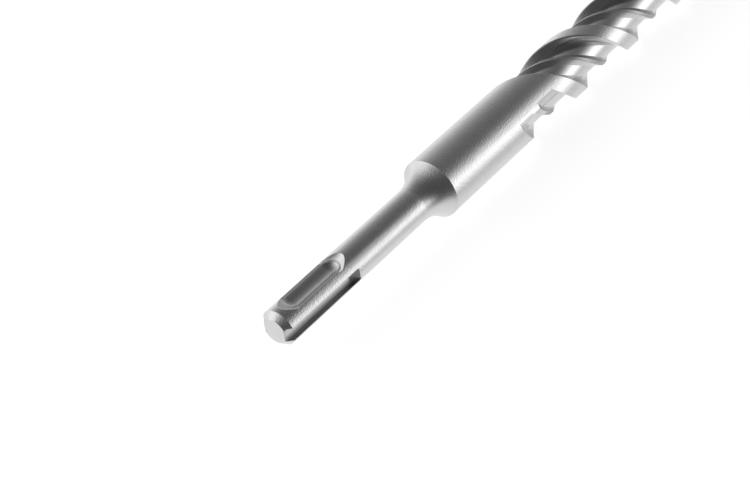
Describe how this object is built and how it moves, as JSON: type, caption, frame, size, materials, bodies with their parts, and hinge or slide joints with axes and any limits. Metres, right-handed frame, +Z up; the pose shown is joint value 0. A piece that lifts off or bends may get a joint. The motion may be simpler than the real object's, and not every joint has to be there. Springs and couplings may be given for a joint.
{
  "type": "sds plus drill bit",
  "caption": "Hammer drill bit for masonry: slotted round shank, flared shoulder, plain collar, ribbed helical flutes and a brazed hard metal plate at the point, lying on its side.",
  "frame": {"origin": "on the surface that the drill lies on, under the middle of its length", "axes": "+X along the drill from shank to point, +Y level across it, +Z up"},
  "size_m": [0.25, 0.0172, 0.0172],
  "materials": {
    "steel": "ground and milled, satin",
    "carbide": "ground hard metal, satin"
  },
  "bodies": {
    "root": {"drill_body": "steel", "carbide_tip": "carbide"}
  },
  "joints": []
}
